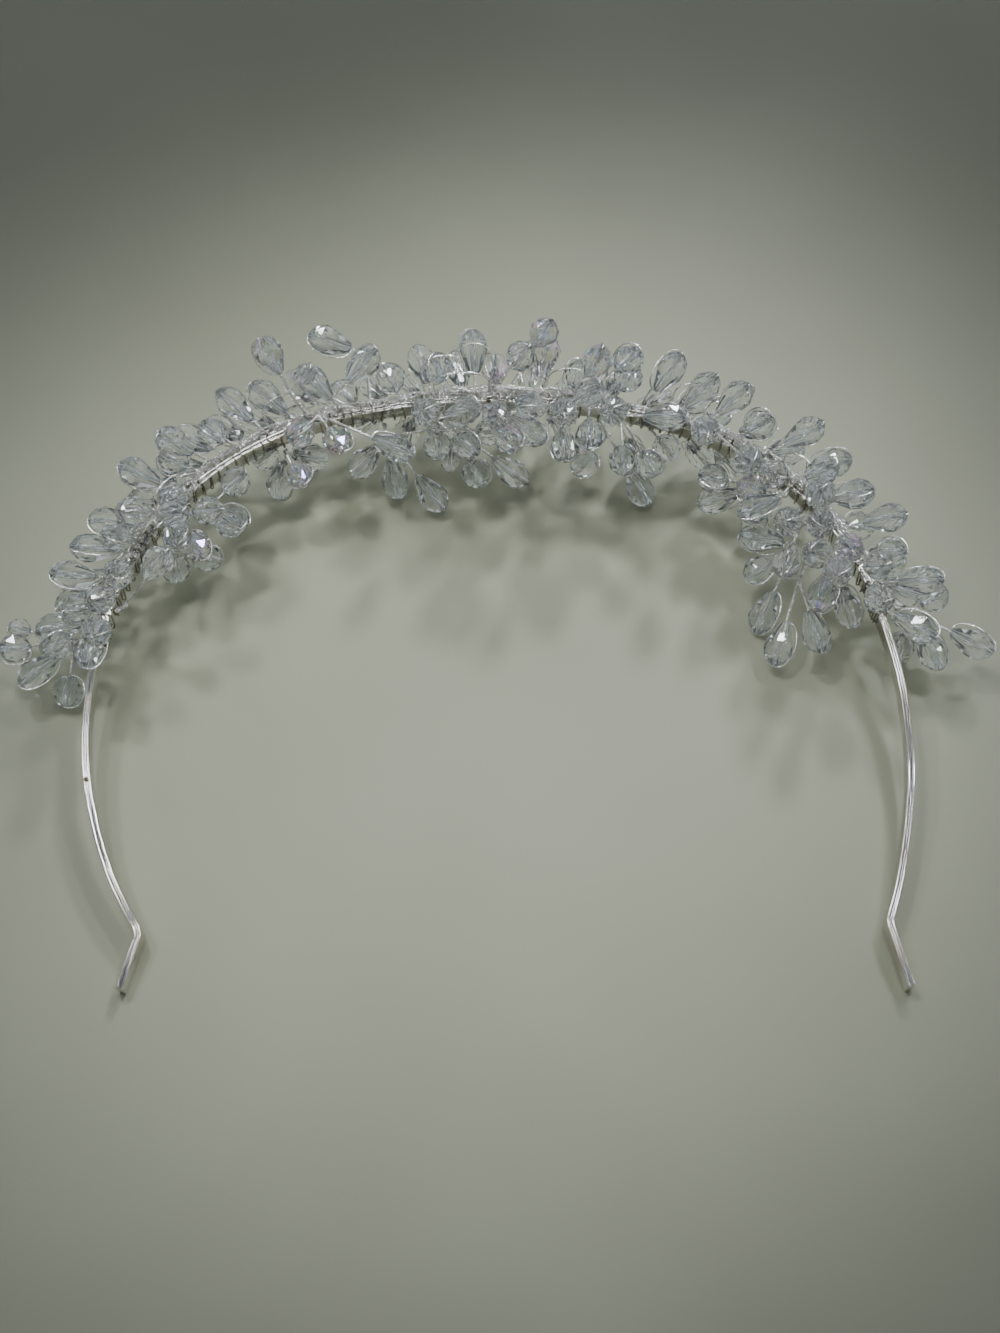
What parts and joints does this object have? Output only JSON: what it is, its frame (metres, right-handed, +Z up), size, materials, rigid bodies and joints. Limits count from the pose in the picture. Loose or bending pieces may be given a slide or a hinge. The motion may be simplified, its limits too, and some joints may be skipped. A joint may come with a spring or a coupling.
{
  "type": "diadem",
  "caption": "Bridal diadem: a springy metal band bent to the head, with faceted clear beads on twisted wire stalks bound all along its arch.",
  "frame": {"origin": "middle of the rectangle that the diadem covers, on the surface that it lies on", "axes": "+Z up from the surface, +Y from the open feet towards the crown, +X to the right as seen from the feet"},
  "size_m": [0.1758, 0.123, 0.0363],
  "materials": {
    "silver_band": "bright silver plate, lightly worn and tarnished",
    "silver_wire": "bright silver-plated wire",
    "crystal": "faceted, clear, polished"
  },
  "bodies": {
    "root": {"band": "silver_band", "beads_01": "crystal", "beads_02": "crystal", "beads_03": "crystal", "beads_04": "crystal", "beads_05": "crystal", "beads_06": "crystal", "beads_07": "crystal", "beads_08": "crystal", "beads_09": "crystal", "beads_10": "crystal", "beads_11": "crystal", "beads_12": "crystal", "stalks_01": "silver_wire", "stalks_02": "silver_wire", "stalks_03": "silver_wire", "stalks_04": "silver_wire", "stalks_05": "silver_wire", "stalks_06": "silver_wire", "stalks_07": "silver_wire", "stalks_08": "silver_wire", "stalks_09": "silver_wire", "stalks_10": "silver_wire", "stalks_11": "silver_wire", "stalks_12": "silver_wire"}
  },
  "joints": []
}
